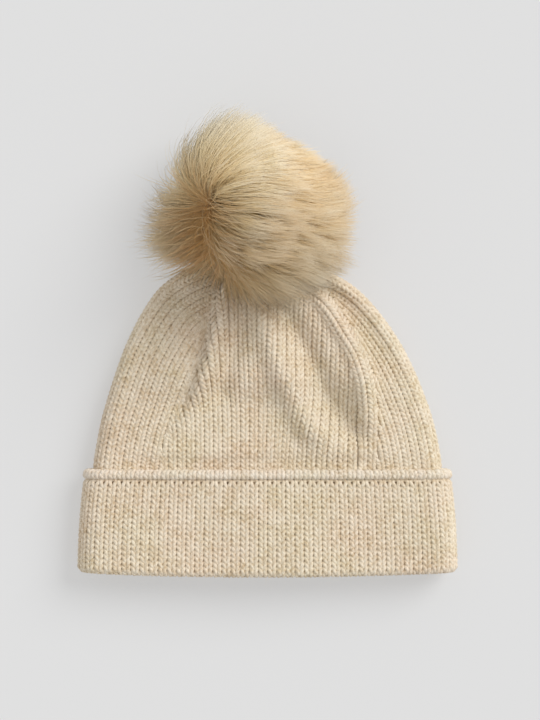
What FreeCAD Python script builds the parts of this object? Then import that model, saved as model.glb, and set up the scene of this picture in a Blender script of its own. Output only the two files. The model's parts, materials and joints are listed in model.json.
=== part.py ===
import FreeCAD, Part
import os
import sys

import Sketcher

# A knitted beanie with a turn-up cuff and a snap-on fur pom-pom, lying flat on its back.
# Frame: +X to the wearer's left, +Y from the hem to the pom-pom, +Z up, off the surface the hat lies on.
# The origin is under the middle of the hat. Inside this file a place along the hat is measured from the
# hem, and each finished piece is moved back by half the total length.

SIZES = {
    # cuff and knit
    "cuff_width": 230.0,
    "cuff_flat_height": 30.0,
    "cuff_depth": 65.0,
    "cuff_narrowing": 3.0,
    "cuff_thinning": 0.8,
    "cuff_press": 0.05,
    "knit_thickness": 3.0,
    "layer_gap": 0.3,
    "roll_length": 4.6,
    "roll_proud": 0.4,
    "roll_rounding": 1.2,
    "seam_width": 1.6,
    # crown
    "crown_rise": 130.0,
    "crown_half_height": 14.0,
    "crown_end_half_height": 9.0,
    "crown_lean": 9.0,
    "crown_clear_below": 0.5,
    "crown_end_lift": 7.0,
    # drawn-up tip of the crown, a shell about the point where the pom-pom tilts
    "tip_set_back": 7.0,
    "tip_centre_height": 19.0,
    "tip_axis_elevation": 30.0,
    "tip_radius": 12.0,
    "tip_flat": 10.0,
    "tip_rim": 4.0,
    "tip_clearance": 0.3,
    "thread_radius": 0.7,
    "thread_clearance": 0.05,
    "thread_latitude": 43.0,
    # snap fastener
    "felt_radius": 5.0,
    "felt_thickness": 1.2,
    "post_radius": 1.5,
    "post_flange_radius": 4.0,
    "flange_thickness": 0.8,
    "rivet_clearance": 0.05,
    "stud_flange_radius": 5.0,
    "stud_neck_radius": 1.9,
    "stud_bulge_radius": 2.2,
    "stud_neck_length": 1.4,
    "stud_length": 3.6,
    "stud_roof": 0.6,
    "snap_gap": 0.3,
    "socket_radius": 6.0,
    "socket_length": 3.5,
    "socket_bore_clearance": 0.15,
    "socket_lip": 0.5,
    "socket_roof": 0.7,
    "spring_wire_radius": 0.4,
    "spring_clearance": 0.1,
    "cap_post_radius": 1.2,
    "cap_flange_radius": 5.0,
    # pom-pom
    "base_disc_radius": 12.0,
    "base_disc_thickness": 1.5,
    "backing_radius": 31.5,
    "backing_thickness": 1.5,
    "ball_seat": 3.6,
    "fill_clearance": 0.1,
    "closing_thread_radius": 0.6,
    "closing_thread_gap": 0.4,
    "pile_across": 116.0,
    "pile_along": 94.0,
    # care label, sewn to the seam inside the back
    "label_width": 20.0,
    "label_length": 38.0,
    "label_thickness": 0.4,
    "label_from_hem": 16.0,
    "label_edge": 1.3,
    "stitch_radius": 0.3,
    "stitch_length": 3.0,
}
# Angles up the quarter ellipse of the crown's outline at which its sections stand.
CROWN_STATIONS = (14, 28, 41, 53, 63, 72, 80)
LABEL_STITCHES = 7
TRIM = 800.0  # longer than the hat, for the box that only trims

document = FreeCAD.newDocument("pom_pom_beanie")
sheet = document.addObject("Spreadsheet::Sheet", "Sizes")
for row, (alias, size) in enumerate(SIZES.items(), start=1):
    sheet.set(f"A{row}", alias)
    sheet.set(f"B{row}", str(size))
    sheet.setAlias(f"B{row}", alias)
document.recompute()


def sized(expression):
    """The expression with every size's name pointing into the sheet."""
    words = []
    word = ""
    for letter in expression + " ":
        if letter.isalnum() or letter == "_":
            word += letter
            continue
        words.append(f"Sizes.{word}" if word in SIZES else word)
        words.append(letter)
        word = ""
    return "".join(words).strip()


def number(expression):
    """The expression's value in millimetres or degrees."""
    result = sheet.evalExpression(sized(expression))
    return float(getattr(result, "Value", result))


# Places that several pieces share, each worked out from the sizes.
CUFF_HALF = "(cuff_width / 2)"
CUFF_HALF_HEIGHT = "(cuff_flat_height / 2)"
LAYER = "(knit_thickness + layer_gap)"
CUFF_TOP_HALF = f"({CUFF_HALF} - cuff_narrowing)"
CUFF_TOP_HALF_HEIGHT = f"({CUFF_HALF_HEIGHT} - cuff_thinning)"
BODY_TOP_HALF = f"({CUFF_TOP_HALF} - {LAYER})"
BODY_TOP_HALF_HEIGHT = f"({CUFF_TOP_HALF_HEIGHT} - {LAYER})"
ROLL_START = "(cuff_depth - roll_length)"
TIP_FROM_HEM = "(cuff_depth + crown_rise - tip_set_back)"
SOCKET_START = "(tip_flat + flange_thickness + snap_gap)"
SOCKET_END = f"({SOCKET_START} + socket_length)"
DISC_END = f"({SOCKET_END} + base_disc_thickness)"
BALL_CENTRE = f"({DISC_END} + backing_radius - ball_seat)"
CAP_START = f"({DISC_END} + backing_thickness)"
CAP_END = f"({CAP_START} + flange_thickness)"
THREAD_RING = "(base_disc_radius + closing_thread_gap + closing_thread_radius)"
THREAD_SEAT = "(tip_radius - thread_radius - 2 * thread_clearance)"
THREAD_AT = f"({THREAD_SEAT} * cos(thread_latitude))"
THREAD_ALONG = f"({THREAD_SEAT} * sin(thread_latitude))"
SPRING_ALONG = f"({SOCKET_START} + socket_lip + spring_clearance + spring_wire_radius)"
SPRING_RING = "(stud_bulge_radius + spring_clearance + spring_wire_radius)"
LABEL_FLOOR = f"({LAYER} + knit_thickness)"
PILE_START = f"({DISC_END} - 2 * closing_thread_radius)"
PILE_REACH = (
    "sqrt(pow(pile_along / 2 * cos(tip_axis_elevation); 2)"
    " + pow(pile_across / 2 * sin(tip_axis_elevation); 2))"
)
TOTAL_LENGTH = f"({TIP_FROM_HEM} + {BALL_CENTRE} * cos(tip_axis_elevation) + {PILE_REACH})"
ORIGIN_SHIFT = f"-({TOTAL_LENGTH}) / 2"


def origin_plane(body, role):
    """One of a body's own origin planes."""
    for feature in body.Origin.OriginFeatures:
        if feature.Role == role:
            return feature
    raise ValueError(role)


def new_body(label):
    """An empty body whose label names its file."""
    body = document.addObject("PartDesign::Body", label)
    body.Label = label
    return body


def drive(thing, path, expression):
    """Bind a property to an expression in the sizes."""
    thing.setExpression(path, sized(expression))


def drive_constraint(sketch, kind, *places, value):
    """Add a dimension to a sketch and bind it."""
    index = sketch.addConstraint(Sketcher.Constraint(kind, *places, number(value)))
    drive(sketch, f"Constraints[{index}]", value)


def polygon_sketch(body, name, corners):
    """A closed outline on the body's XZ plane, with each corner's two coordinates bound."""
    sketch = body.newObject("Sketcher::SketchObject", name)
    sketch.AttachmentSupport = [(origin_plane(body, "XZ_Plane"), "")]
    sketch.MapMode = "FlatFace"
    points = [FreeCAD.Vector(number(across), number(up), 0) for across, up in corners]
    for index, point in enumerate(points):
        sketch.addGeometry(Part.LineSegment(point, points[(index + 1) % len(points)]), False)
    for index in range(len(points)):
        sketch.addConstraint(Sketcher.Constraint("Coincident", index, 2, (index + 1) % len(points), 1))
    for index, (across, up) in enumerate(corners):
        drive_constraint(sketch, "DistanceX", -1, 1, index, 1, value=across)
        drive_constraint(sketch, "DistanceY", -1, 1, index, 1, value=up)
    return sketch


def turned_body(label, corners):
    """A body turned about its own Z axis from one outline."""
    body = new_body(label)
    outline = polygon_sketch(body, f"{label}_outline", corners)
    turning = body.newObject("PartDesign::Revolution", f"{label}_turning")
    turning.Profile = outline
    turning.ReferenceAxis = (outline, ["V_Axis"])
    turning.Angle = 360.0
    outline.Visibility = False
    return body


def slot_section(body, name, along, half_width, half_height, middle_x, middle_z):
    """A section across the hat: two flat runs joined by half-round sides."""
    sketch = body.newObject("Sketcher::SketchObject", name)
    sketch.AttachmentSupport = [(origin_plane(body, "XZ_Plane"), "")]
    sketch.MapMode = "FlatFace"
    drive(sketch, "AttachmentOffset.Base.z", f"-({along})")
    radius = number(half_height)
    reach = number(half_width) - radius
    x = number(middle_x)
    z = number(middle_z)
    normal = FreeCAD.Vector(0, 0, 1)
    right = FreeCAD.Vector(x + reach, z, 0)
    left = FreeCAD.Vector(x - reach, z, 0)
    up = FreeCAD.Vector(0, radius, 0)
    quarter = 1.5707963267948966
    sketch.addGeometry(Part.ArcOfCircle(Part.Circle(right, normal, radius), -quarter, quarter), False)
    sketch.addGeometry(Part.LineSegment(right + up, left + up), False)
    sketch.addGeometry(Part.ArcOfCircle(Part.Circle(left, normal, radius), quarter, 3 * quarter), False)
    sketch.addGeometry(Part.LineSegment(left - up, right - up), False)
    for index in range(4):
        sketch.addConstraint(Sketcher.Constraint("Tangent", index, 2, (index + 1) % 4, 1))
    sketch.addConstraint(Sketcher.Constraint("Horizontal", 1))
    drive_constraint(sketch, "Radius", 0, value=half_height)
    drive_constraint(sketch, "DistanceX", -1, 1, 0, 3, value=f"{half_width} - {half_height} + ({middle_x})")
    drive_constraint(sketch, "DistanceX", 2, 3, -1, 1, value=f"{half_width} - {half_height} - ({middle_x})")
    drive_constraint(sketch, "DistanceY", -1, 1, 0, 3, value=middle_z)
    sketch.Visibility = False
    return sketch


def loft(body, kind, name, sections, ruled):
    """Add or take away the solid through a row of sections."""
    feature = body.newObject(f"PartDesign::{kind}Loft", name)
    feature.Profile = sections[0]
    feature.Sections = sections[1:]
    feature.Ruled = ruled
    return feature


def crown_sections(body, name, wall):
    """Sections up the crown, drawn in by the wall: a quarter ellipse in plan that leans to one side."""
    top_middle = f"({CUFF_TOP_HALF_HEIGHT})"
    sections = [
        slot_section(body, f"{name}_0", "cuff_depth", f"({BODY_TOP_HALF} - {wall})",
                     f"({BODY_TOP_HALF_HEIGHT} - {wall})", "0", top_middle)
    ]
    for step, angle in enumerate(CROWN_STATIONS, start=1):
        half_height = (
            f"(crown_end_half_height + (crown_half_height - crown_end_half_height) * cos({angle}))"
        )
        middle_z = f"(crown_clear_below + crown_end_lift * pow(sin({angle}); 8) + {half_height})"
        sections.append(
            slot_section(
                body,
                f"{name}_{step}",
                f"cuff_depth + (crown_rise - {wall}) * sin({angle})",
                f"(({BODY_TOP_HALF} - {wall}) * cos({angle}))",
                f"({half_height} - {wall})",
                f"-crown_lean * pow(sin({angle}); 3)",
                middle_z,
            )
        )
    return sections


def cuff_sections(body, name, start, end, inset, press="0"):
    """Two sections of the tapering cuff, drawn in by the inset; a press lowers only their underside."""
    sections = []
    for index, along in enumerate((start, end)):
        share = f"(({along}) / cuff_depth)"
        half_height = f"({CUFF_HALF_HEIGHT} - cuff_thinning * {share})"
        half_width = f"({CUFF_HALF} - cuff_narrowing * {share})"
        sections.append(
            slot_section(body, f"{name}_{index}", along, f"({half_width} - ({inset}))",
                         f"({half_height} - ({inset}) + {press} / 2)", "0", f"({half_height} - {press} / 2)")
        )
    return sections


def ground(name):
    """A box that fills the space below the surface that the hat lies on."""
    box = document.addObject("Part::Box", name)
    box.Length = TRIM
    box.Width = TRIM
    box.Height = TRIM
    box.Placement.Base = FreeCAD.Vector(-TRIM / 2, -TRIM / 2, -TRIM)
    return box


def trim_box(name, width, start, end, low, high):
    """A box across x = 0, for cutting a seam's strip."""
    box = document.addObject("Part::Box", name)
    drive(box, "Length", width)
    drive(box, "Width", f"({end}) - ({start})")
    drive(box, "Height", f"({high}) - ({low})")
    drive(box, "Placement.Base.x", f"-({width}) / 2")
    drive(box, "Placement.Base.y", start)
    drive(box, "Placement.Base.z", low)
    return box


def boolean(kind, name, base, tool):
    """A Part boolean of two objects."""
    result = document.addObject(f"Part::{kind}", name)
    result.Base = base
    result.Tool = tool
    return result


def seat(piece):
    """Move a piece modelled from the hem into the hat's frame."""
    drive(piece, "Placement.Base.y", ORIGIN_SHIFT)


def aim(thing, along, from_hem=True):
    """Put a thing on the pom-pom's axis, a distance from the tilt point, turned to point along it."""
    turn = FreeCAD.Rotation(FreeCAD.Vector(-1, 0, 0), 90.0 - SIZES["tip_axis_elevation"])
    thing.Placement = FreeCAD.Placement(FreeCAD.Vector(0, 0, 0), turn)
    shift = "" if from_hem else f" + {ORIGIN_SHIFT}"
    drive(thing, "Placement.Base.x", "-crown_lean")
    drive(thing, "Placement.Base.y", f"{TIP_FROM_HEM} + ({along}) * cos(tip_axis_elevation){shift}")
    drive(thing, "Placement.Base.z", f"tip_centre_height + ({along}) * sin(tip_axis_elevation)")
    drive(thing, "Placement.Rotation.Angle", "90 - tip_axis_elevation")


def ball(name, radius, low=None, high=None, along="0"):
    """A ball on the pom-pom's axis, cut flat below and above its centre where that is asked for."""
    sphere = document.addObject("Part::Sphere", name)
    drive(sphere, "Radius", radius)
    if low is not None:
        drive(sphere, "Angle1", f"asin(({low}) / ({radius}))")
    if high is not None:
        drive(sphere, "Angle2", f"asin(({high}) / ({radius}))")
    aim(sphere, along)
    return sphere


def rod(name, radius, start, end):
    """A cylinder along the pom-pom's axis."""
    cylinder = document.addObject("Part::Cylinder", name)
    drive(cylinder, "Radius", radius)
    drive(cylinder, "Height", f"({end}) - ({start})")
    aim(cylinder, start)
    return cylinder


def ring(name, ring_radius, wire_radius, along, from_hem=True):
    """A round ring about the pom-pom's axis."""
    torus = document.addObject("Part::Torus", name)
    drive(torus, "Radius1", ring_radius)
    drive(torus, "Radius2", wire_radius)
    aim(torus, along, from_hem)
    return torus


def knit_shell():
    """The body's whole shell, before its seam and its tip are cut: tube in the cuff, then the crown."""
    body = new_body("knit_shell")
    foot = "knit_thickness"
    loft(body, "Additive", "tube", cuff_sections(body, "tube_outer", foot, "cuff_depth", LAYER), True)
    loft(body, "Additive", "crown", crown_sections(body, "crown_outer", "0"), False)
    bore = cuff_sections(body, "tube_inner", foot, "cuff_depth", f"{LAYER} + knit_thickness")
    loft(body, "Subtractive", "tube_hollow", bore, True)
    loft(body, "Subtractive", "crown_hollow", crown_sections(body, "crown_inner", "knit_thickness"), False)
    return body


def cuff_shell():
    """The turned-up layer and the fold at the hem, pressed flat underneath, before its seam is cut."""
    body = new_body("cuff_layer")
    outside = cuff_sections(body, "outer", "0", ROLL_START, "0", "cuff_press")
    loft(body, "Additive", "outside", outside, True)
    fold = "knit_thickness"
    bore = cuff_sections(body, "bore", fold, ROLL_START, "knit_thickness")
    loft(body, "Subtractive", "inside", bore, True)
    mouth = cuff_sections(body, "mouth", "0", fold, f"{LAYER} + knit_thickness")
    loft(body, "Subtractive", "hem_mouth", mouth, True)
    return boolean("Cut", "cuff_shell", body, ground("ground_below_cuff"))


def make_knit_body(shell, strip):
    """The body: the shell without the seam's strip, and with a round pocket for the crown's tip."""
    opened = boolean("Cut", "knit_open", shell, strip)
    pocket = ball("tip_pocket", "tip_radius + tip_clearance")
    piece = boolean("Cut", "knit_body", opened, pocket)
    seat(piece)
    return piece


def make_back_seam(shell, strip):
    """The strip of the shell down the middle of the back."""
    whole = boolean("Common", "seam_whole", shell, strip)
    pocket = ball("seam_pocket", "tip_radius + tip_clearance")
    piece = boolean("Cut", "back_seam", whole, pocket)
    seat(piece)
    return piece


def make_cuff(shell, strip):
    """The turned-up layer without the seam's strip."""
    piece = boolean("Cut", "turn_up_cuff", shell, strip)
    seat(piece)
    return piece


def make_cuff_seam(shell, strip):
    """The seam's strip where it crosses the cuff."""
    piece = boolean("Common", "cuff_seam", shell, strip)
    seat(piece)
    return piece


def make_edge_roll():
    """The rolled edge on top of the cuff, a little thicker than the layer that it ends, with eased rims."""
    body = new_body("cuff_edge_roll")
    rims = (
        (ROLL_START, "roll_rounding"),
        (f"({ROLL_START} + roll_rounding)", "0"),
        ("(cuff_depth - roll_rounding)", "0"),
        ("cuff_depth", "roll_rounding"),
    )
    outer = []
    for index, (along, eased) in enumerate(rims):
        share = f"({along} / cuff_depth)"
        half_height = f"({CUFF_HALF_HEIGHT} - cuff_thinning * {share} + roll_proud)"
        half_width = f"({CUFF_HALF} - cuff_narrowing * {share} + roll_proud)"
        outer.append(
            slot_section(body, f"roll_outer_{index}", along, f"({half_width} - {eased})",
                         f"({half_height} - {eased})", "0", half_height)
        )
    loft(body, "Additive", "roll", outer, True)
    bore = cuff_sections(body, "roll_inner", ROLL_START, "cuff_depth", "knit_thickness")
    loft(body, "Subtractive", "roll_hollow", bore, True)
    seat(body)
    return body


def make_crown_gather():
    """The tip of the crown: a domed shell, flat where the snap sits, with a groove for the draw thread."""
    low = "-tip_rim"
    dome = ball("tip_dome", "tip_radius", low, "tip_flat")
    inner_radius = "(tip_radius - knit_thickness)"
    inner_flat = "(tip_flat - knit_thickness)"
    hollow = ball("tip_hollow", inner_radius, f"{low} - 1", inner_flat)
    shell = boolean("Cut", "tip_shell", dome, hollow)
    hole = rod("tip_hole", "post_radius + rivet_clearance", "0", "tip_flat + 1")
    pierced = boolean("Cut", "tip_pierced", shell, hole)
    groove = ring("tip_groove", THREAD_AT, "thread_radius + thread_clearance", THREAD_ALONG)
    piece = boolean("Cut", "crown_gather", pierced, groove)
    seat(piece)
    return piece


def make_felt_backing():
    """The washer of felt between the knit and the rivet."""
    start = "(tip_flat - knit_thickness - felt_thickness)"
    end = "(tip_flat - knit_thickness)"
    hole = "(post_radius + rivet_clearance)"
    return turned_body(
        "felt_backing", [(hole, start), ("felt_radius", start), ("felt_radius", end), (hole, end)]
    )


def make_stud_post():
    """The rivet that holds the stud: a flange inside the crown and a post through the knit."""
    seat_at = "(tip_flat - knit_thickness - felt_thickness)"
    foot = f"({seat_at} - flange_thickness)"
    top = "(tip_flat + stud_length - stud_roof - rivet_clearance)"
    return turned_body(
        "stud_post",
        [("0", foot), ("post_flange_radius", foot), ("post_flange_radius", seat_at),
         ("post_radius", seat_at), ("post_radius", top), ("0", top)],
    )


def make_snap_stud():
    """The snap's stud: a flange, a neck and a bulge, hollow for the post."""
    bore = "(post_radius + rivet_clearance)"
    shoulder = "(tip_flat + flange_thickness)"
    neck_end = f"({shoulder} + stud_neck_length)"
    top = "(tip_flat + stud_length)"
    bulge_at = f"(({neck_end} + {top}) / 2)"
    roof = f"({top} - stud_roof)"
    return turned_body(
        "snap_stud",
        [(bore, "tip_flat"), ("stud_flange_radius", "tip_flat"), ("stud_flange_radius", shoulder),
         ("stud_neck_radius", shoulder), ("stud_neck_radius", neck_end), ("stud_bulge_radius", bulge_at),
         ("stud_neck_radius", top), ("0", top), ("0", roof), (bore, roof)],
    )


def make_snap_spring():
    """The wire ring inside the socket."""
    return ring("snap_spring", SPRING_RING, "spring_wire_radius", SPRING_ALONG, from_hem=False)


def make_snap_socket():
    """The snap's socket: a cup with a lip, a groove for the spring and a pierced roof."""
    mouth = "(stud_bulge_radius + socket_bore_clearance)"
    groove = f"({SPRING_RING} + spring_wire_radius + spring_clearance)"
    groove_start = f"({SOCKET_START} + socket_lip)"
    groove_end = f"({groove_start} + 2 * (spring_wire_radius + spring_clearance))"
    ceiling = f"({SOCKET_END} - socket_roof)"
    hole = "(cap_post_radius + rivet_clearance)"
    return turned_body(
        "snap_socket",
        [(mouth, SOCKET_START), ("socket_radius", SOCKET_START), ("socket_radius", SOCKET_END),
         (hole, SOCKET_END), (hole, ceiling), (mouth, ceiling), (mouth, groove_end),
         (groove, groove_end), (groove, groove_start), (mouth, groove_start)],
    )


def make_socket_cap():
    """The rivet from inside the pom-pom that holds the socket and the base disc."""
    foot = f"({SOCKET_END} - socket_roof)"
    return turned_body(
        "socket_cap",
        [("0", foot), ("cap_post_radius", foot), ("cap_post_radius", CAP_START),
         ("cap_flange_radius", CAP_START), ("cap_flange_radius", CAP_END), ("0", CAP_END)],
    )


def make_base_disc():
    """The stiff disc under the pom-pom."""
    hole = "(cap_post_radius + rivet_clearance)"
    return turned_body(
        "pom_base_disc",
        [(hole, SOCKET_END), ("base_disc_radius", SOCKET_END), ("base_disc_radius", DISC_END),
         (hole, DISC_END)],
    )


def make_backing():
    """The fur's backing, a ball of thin cloth with a flat seat on the disc."""
    outer = ball("backing_outer", "backing_radius", "ball_seat - backing_radius", along=BALL_CENTRE)
    inner_radius = "(backing_radius - backing_thickness)"
    low = f"({CAP_START} - {BALL_CENTRE})"
    inner = ball("backing_inner", inner_radius, low, along=BALL_CENTRE)
    shell = boolean("Cut", "backing_shell", outer, inner)
    hole = rod("backing_hole", "cap_post_radius + rivet_clearance", SOCKET_END, CAP_END)
    piece = boolean("Cut", "pom_backing", shell, hole)
    seat(piece)
    return piece


def make_fill():
    """The stuffing, flat where the rivet's flange sits."""
    radius = "(backing_radius - backing_thickness - fill_clearance)"
    low = f"({CAP_END} + fill_clearance - {BALL_CENTRE})"
    sphere = document.addObject("Part::Sphere", "pom_fill")
    drive(sphere, "Radius", radius)
    drive(sphere, "Angle1", f"asin(({low}) / ({radius}))")
    aim(sphere, BALL_CENTRE, from_hem=False)
    return sphere


def make_closing_thread():
    """The thread that draws the backing together round the base disc."""
    along = f"({DISC_END} - closing_thread_radius)"
    return ring("pom_closing_thread", THREAD_RING, "closing_thread_radius", along, from_hem=False)


def make_pile():
    """The fur's outer form: an oval ball round the backing, flat where it rests and where it meets the hat."""
    blank = document.addObject("Part::Ellipsoid", "pile_blank")
    drive(blank, "Radius1", "pile_along / 2")
    drive(blank, "Radius2", "pile_across / 2")
    drive(blank, "Radius3", "pile_across / 2")
    aim(blank, BALL_CENTRE)
    core = ball("pile_core", "backing_radius", "ball_seat - backing_radius", along=BALL_CENTRE)
    hollow = boolean("Cut", "pile_hollow", blank, core)
    below = rod("pile_below", "pile_across", f"{PILE_START} - pile_along", PILE_START)
    faced = boolean("Cut", "pile_faced", hollow, below)
    neck = rod("pile_neck", f"{THREAD_RING} + closing_thread_radius + closing_thread_gap", "0", DISC_END)
    opened = boolean("Cut", "pile_opened", faced, neck)
    piece = boolean("Cut", "pom_pile", opened, ground("ground_below_pile"))
    seat(piece)
    return piece


def make_care_label():
    """A blank label lying on the inside of the back, beside the seam that holds one edge."""
    box = document.addObject("Part::Box", "care_label")
    drive(box, "Length", "label_width")
    drive(box, "Width", "label_length")
    drive(box, "Height", "label_thickness")
    drive(box, "Placement.Base.x", "label_edge")
    drive(box, "Placement.Base.y", f"label_from_hem + {ORIGIN_SHIFT}")
    drive(box, "Placement.Base.z", f"{LABEL_FLOOR} + layer_gap")
    return box


def make_label_stitches():
    """A row of short stitches along the label's sewn edge."""
    stitches = []
    pitch = f"(label_length / {LABEL_STITCHES})"
    for index in range(LABEL_STITCHES):
        stitch = document.addObject("Part::Cylinder", f"label_stitch_{index}")
        drive(stitch, "Radius", "stitch_radius")
        drive(stitch, "Height", "stitch_length")
        stitch.Placement = FreeCAD.Placement(
            FreeCAD.Vector(0, 0, 0), FreeCAD.Rotation(FreeCAD.Vector(-1, 0, 0), 90.0)
        )
        middle = f"label_from_hem + {pitch} * {index + 0.5}"
        drive(stitch, "Placement.Base.x", "label_edge / 2")
        drive(stitch, "Placement.Base.y", f"{middle} - stitch_length / 2")
        drive(stitch, "Placement.Base.z", f"{LABEL_FLOOR} + stitch_radius")
        stitches.append(stitch)
    piece = document.addObject("Part::Compound", "label_stitches")
    piece.Links = stitches
    seat(piece)
    return piece


shell = knit_shell()
cuff = cuff_shell()
back_top = "crown_clear_below + crown_end_lift + knit_thickness"
body_strip = trim_box("body_strip", "seam_width", "0", f"{TIP_FROM_HEM} + tip_radius", "-1", back_top)
cuff_strip = trim_box("cuff_strip", "seam_width", "-1", "cuff_depth", "-1", CUFF_HALF_HEIGHT)

hem_pieces = [
    make_knit_body(shell, body_strip),
    make_back_seam(shell, body_strip),
    make_cuff(cuff, cuff_strip),
    make_cuff_seam(cuff, cuff_strip),
    make_edge_roll(),
    make_crown_gather(),
    make_backing(),
    make_pile(),
    make_label_stitches(),
    make_care_label(),
    ring("draw_thread", THREAD_AT, "thread_radius", THREAD_ALONG, from_hem=False),
    make_snap_spring(),
    make_fill(),
    make_closing_thread(),
]
axis_pieces = [
    make_felt_backing(),
    make_stud_post(),
    make_snap_stud(),
    make_snap_socket(),
    make_socket_cap(),
    make_base_disc(),
]
for piece in axis_pieces:
    aim(piece, "0", from_hem=False)
document.recompute()

faults = []
for thing in document.Objects:
    if "Invalid" in thing.State or "Error" in thing.State:
        faults.append(f"{thing.Name}: {thing.State}")
for piece in hem_pieces + axis_pieces:
    if piece.Shape.isNull() or not piece.Shape.isValid() or not piece.Shape.Solids:
        faults.append(f"{piece.Label}: no valid solid")
if faults:
    print("\n".join(faults))
    sys.exit(1)

os.makedirs("parts", exist_ok=True)
for piece in hem_pieces + axis_pieces:
    piece.Shape.exportStep(f"parts/{piece.Label}.step")
    print(f"{piece.Label}: {piece.Shape.Volume / 1000:.2f} cm3, {len(piece.Shape.Solids)} solids")
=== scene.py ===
import json
import math

import bmesh
import bpy
import numpy as np
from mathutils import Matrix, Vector


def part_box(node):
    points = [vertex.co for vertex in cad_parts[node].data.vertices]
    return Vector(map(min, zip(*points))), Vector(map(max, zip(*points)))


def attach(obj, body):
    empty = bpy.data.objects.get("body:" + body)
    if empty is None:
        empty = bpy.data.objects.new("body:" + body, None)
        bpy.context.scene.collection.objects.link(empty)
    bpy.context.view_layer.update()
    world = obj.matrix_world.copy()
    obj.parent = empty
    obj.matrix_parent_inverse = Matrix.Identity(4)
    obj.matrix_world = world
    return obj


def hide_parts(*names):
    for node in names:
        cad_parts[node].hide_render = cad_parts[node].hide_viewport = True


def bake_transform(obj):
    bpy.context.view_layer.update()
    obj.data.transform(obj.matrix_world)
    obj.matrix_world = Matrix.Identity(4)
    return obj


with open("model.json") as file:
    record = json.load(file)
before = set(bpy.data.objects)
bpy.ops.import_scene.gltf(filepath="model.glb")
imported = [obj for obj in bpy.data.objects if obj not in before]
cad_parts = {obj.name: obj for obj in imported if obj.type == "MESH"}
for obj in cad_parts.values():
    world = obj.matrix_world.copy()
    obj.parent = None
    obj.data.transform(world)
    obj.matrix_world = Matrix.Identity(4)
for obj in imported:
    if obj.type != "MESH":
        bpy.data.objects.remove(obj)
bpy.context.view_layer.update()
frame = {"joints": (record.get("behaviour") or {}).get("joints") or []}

MM = 0.001

# ---------------------------------------------------------------- places from the frame

cuff_low, cuff_high = (np.array(corner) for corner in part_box("turn_up_cuff"))
roll_low, roll_high = (np.array(corner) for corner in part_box("cuff_edge_roll"))
ball_low, ball_high = (np.array(corner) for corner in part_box("pom_backing"))
joints = {joint["name"]: joint for joint in frame["joints"]}
tip = np.array(joints["pom_tilt"]["pos_m"])
pom_axis = np.array(joints["pom_spin"]["axis"], float)
pom_axis /= np.linalg.norm(pom_axis)

APEX_PAST_TIP = 7 * MM
BALL_STANDOFF = 44.1 * MM

HEM_Y = cuff_low[1]
CUFF_TOP_Y = roll_high[1]
ROLL_Y = roll_low[1]
APEX_Y = tip[1] + APEX_PAST_TIP
CROWN_RISE = APEX_Y - CUFF_TOP_Y
CUFF_HALF = cuff_high[0]
CUFF_TOP_HALF = roll_high[0] - 0.6 * MM
CUFF_HEIGHT = cuff_high[2]
BALL_RADIUS = (ball_high[0] - ball_low[0]) / 2
BALL_CENTRE = np.array([(ball_high[0] + ball_low[0]) / 2, 0, 0])
BALL_CENTRE[1:] = tip[1:] + pom_axis[1:] * BALL_STANDOFF

# ---------------------------------------------------------------- small numeric helpers


def smoothstep(low, high, value):
    """0 below low, 1 above high, smooth between."""
    share = np.clip((value - low) / (high - low), 0, 1)
    return share * share * (3 - 2 * share)


def curve_through(knots):
    """A smooth function through given (place, value) knots, with no overshoot."""
    xs, ys = np.array(knots, float).T
    steps = np.diff(xs)
    rises = np.diff(ys) / steps
    slopes = np.zeros(len(xs))
    slopes[0] = rises[0]
    slopes[-1] = rises[-1]
    same = rises[:-1] * rises[1:] > 0
    inner = 2 * rises[:-1] * rises[1:] / np.where(same, rises[:-1] + rises[1:], 1)
    slopes[1:-1] = np.where(same, inner, 0)

    def value(at):
        at = np.clip(at, xs[0], xs[-1])
        i = np.clip(np.searchsorted(xs, at) - 1, 0, len(xs) - 2)
        t = (at - xs[i]) / steps[i]
        first = (1 + 2 * t) * (1 - t) ** 2 * ys[i] + t * (1 - t) ** 2 * steps[i] * slopes[i]
        second = t * t * (3 - 2 * t) * ys[i + 1] + t * t * (t - 1) * steps[i] * slopes[i + 1]
        return first + second

    return value


def unit(vectors):
    """Vectors of length one."""
    return vectors / np.maximum(np.linalg.norm(vectors, axis=-1, keepdims=True), 1e-12)


def distance_to_path(x, y, path):
    """How far plan points are from a path of given (x, y) points."""
    best = np.full(np.shape(x), 1.0)
    for (x0, y0), (x1, y1) in zip(path, path[1:]):
        dx, dy = x1 - x0, y1 - y0
        t = np.clip(((x - x0) * dx + (y - y0) * dy) / (dx * dx + dy * dy), 0, 1)
        best = np.minimum(best, np.hypot(x - x0 - t * dx, y - y0 - t * dy))
    return best


# ---------------------------------------------------------------- materials


def new_material(name, roughness, sheen=0.0, sheen_roughness=0.5, metallic=0.0, specular=0.5):
    """A material with its Principled shader's plain values set."""
    material = bpy.data.materials.new(name)
    material.use_nodes = True
    shader = material.node_tree.nodes["Principled BSDF"]
    shader.inputs["Roughness"].default_value = roughness
    shader.inputs["Metallic"].default_value = metallic
    shader.inputs["Specular IOR Level"].default_value = specular
    shader.inputs["Sheen Weight"].default_value = sheen
    shader.inputs["Sheen Roughness"].default_value = sheen_roughness
    return material, material.node_tree, shader


def add_node(tree, kind, **values):
    """A node with its named inputs or properties set."""
    node = tree.nodes.new(kind)
    for key, value in values.items():
        if key in node.inputs:
            node.inputs[key].default_value = value
        else:
            setattr(node, key, value)
    return node


def linear(red, green, blue):
    """A shader colour from the 0-255 colour that a screen shows."""
    channels = []
    for value in (red, green, blue):
        share = value / 255
        channels.append(share / 12.92 if share <= 0.04045 else ((share + 0.055) / 1.055) ** 2.4)
    return (*channels, 1.0)


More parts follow.
